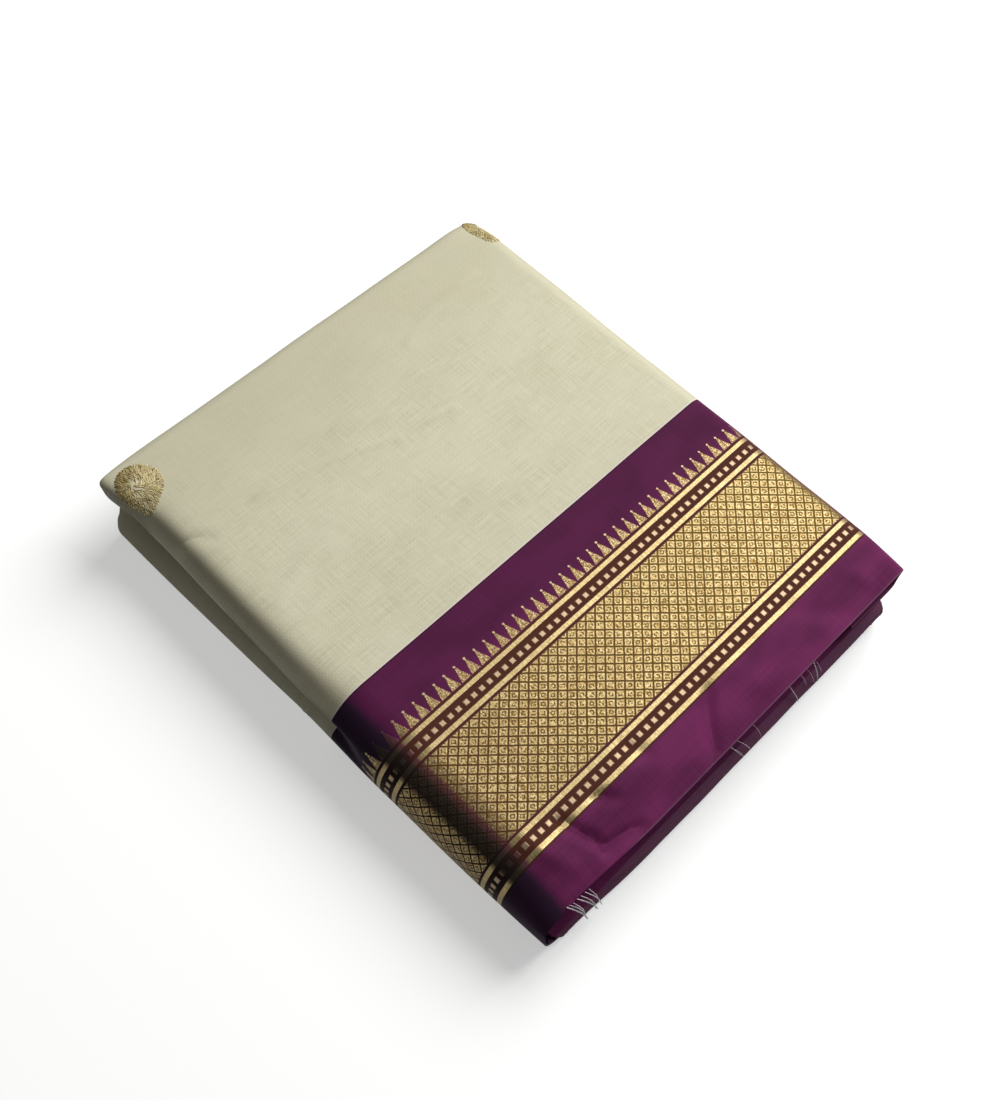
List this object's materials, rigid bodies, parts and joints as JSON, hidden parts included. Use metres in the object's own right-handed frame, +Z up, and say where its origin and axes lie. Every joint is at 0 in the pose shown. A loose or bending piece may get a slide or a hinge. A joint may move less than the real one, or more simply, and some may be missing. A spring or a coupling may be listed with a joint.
{
  "type": "folded saree",
  "caption": "Cotton and silk saree folded into a flat packet, with a cream body, woven paisley motifs and a deep purple border of gold thread along one side.",
  "frame": {"origin": "on the surface that the packet lies on, under the middle of its outline", "axes": "+X along the length of the cloth, away from the book fold; +Y across the width of the cloth, from the border's selvedges towards the folds of the body; +Z up, out of the top face"},
  "size_m": [0.24, 0.279, 0.0416],
  "materials": {
    "body_cloth": "plain weave of cream cotton and silk with slubs, soft and nearly matt",
    "border_cloth": "purple silk with a soft sheen, figured with bright gold thread"
  },
  "bodies": {
    "root": {"outer_body": "body_cloth", "outer_border": "border_cloth", "upper_plies_body": "body_cloth", "upper_plies_border": "border_cloth", "lower_plies_body": "body_cloth", "lower_plies_border": "border_cloth"}
  },
  "joints": []
}
